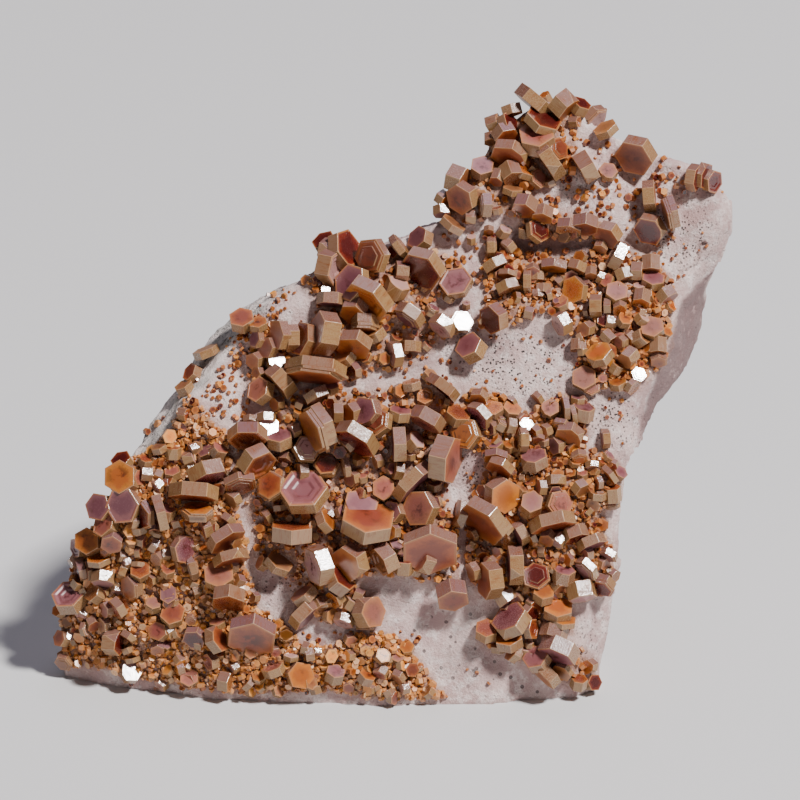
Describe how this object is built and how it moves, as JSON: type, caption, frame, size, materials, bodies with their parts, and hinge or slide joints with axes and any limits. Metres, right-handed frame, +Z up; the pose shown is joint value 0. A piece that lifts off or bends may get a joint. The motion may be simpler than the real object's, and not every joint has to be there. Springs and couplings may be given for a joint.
{
  "type": "vanadinite on matrix",
  "caption": "Mineral specimen: red-brown hexagonal vanadinite tablets grown in druses over a slab of pale chalky barite rock, cut flat underneath so that it stands.",
  "frame": {"origin": "centre of the bounding box in X and Y, on the flat underside that the rock stands on", "axes": "+Z up, -Y the side that the crystal-covered display face looks to, which also leans back and up, +X to the right of someone looking at that face"},
  "size_m": [0.1092, 0.0608, 0.0898],
  "materials": {
    "barite": "matt, chalky",
    "vanadinite": "glossy to resinous"
  },
  "bodies": {
    "root": {"big_stepped_crystal": "vanadinite", "centre_druse": "vanadinite", "crest_druse": "vanadinite", "dark_red_crystal": "vanadinite", "leaning_pale_crystal": "vanadinite", "left_slope_blade": "vanadinite", "left_slope_large_crystal": "vanadinite", "left_slope_lower_crystals": "vanadinite", "lower_left_druse": "vanadinite", "lower_right_cluster": "vanadinite", "matrix": "barite", "middle_lone_crystal": "vanadinite", "right_druse": "vanadinite", "top_lone_crystals": "vanadinite", "top_right_trio": "vanadinite", "upper_left_cluster": "vanadinite", "upper_pink_crystal": "vanadinite", "upper_right_cluster": "vanadinite", "upright_crystal": "vanadinite"}
  },
  "joints": []
}
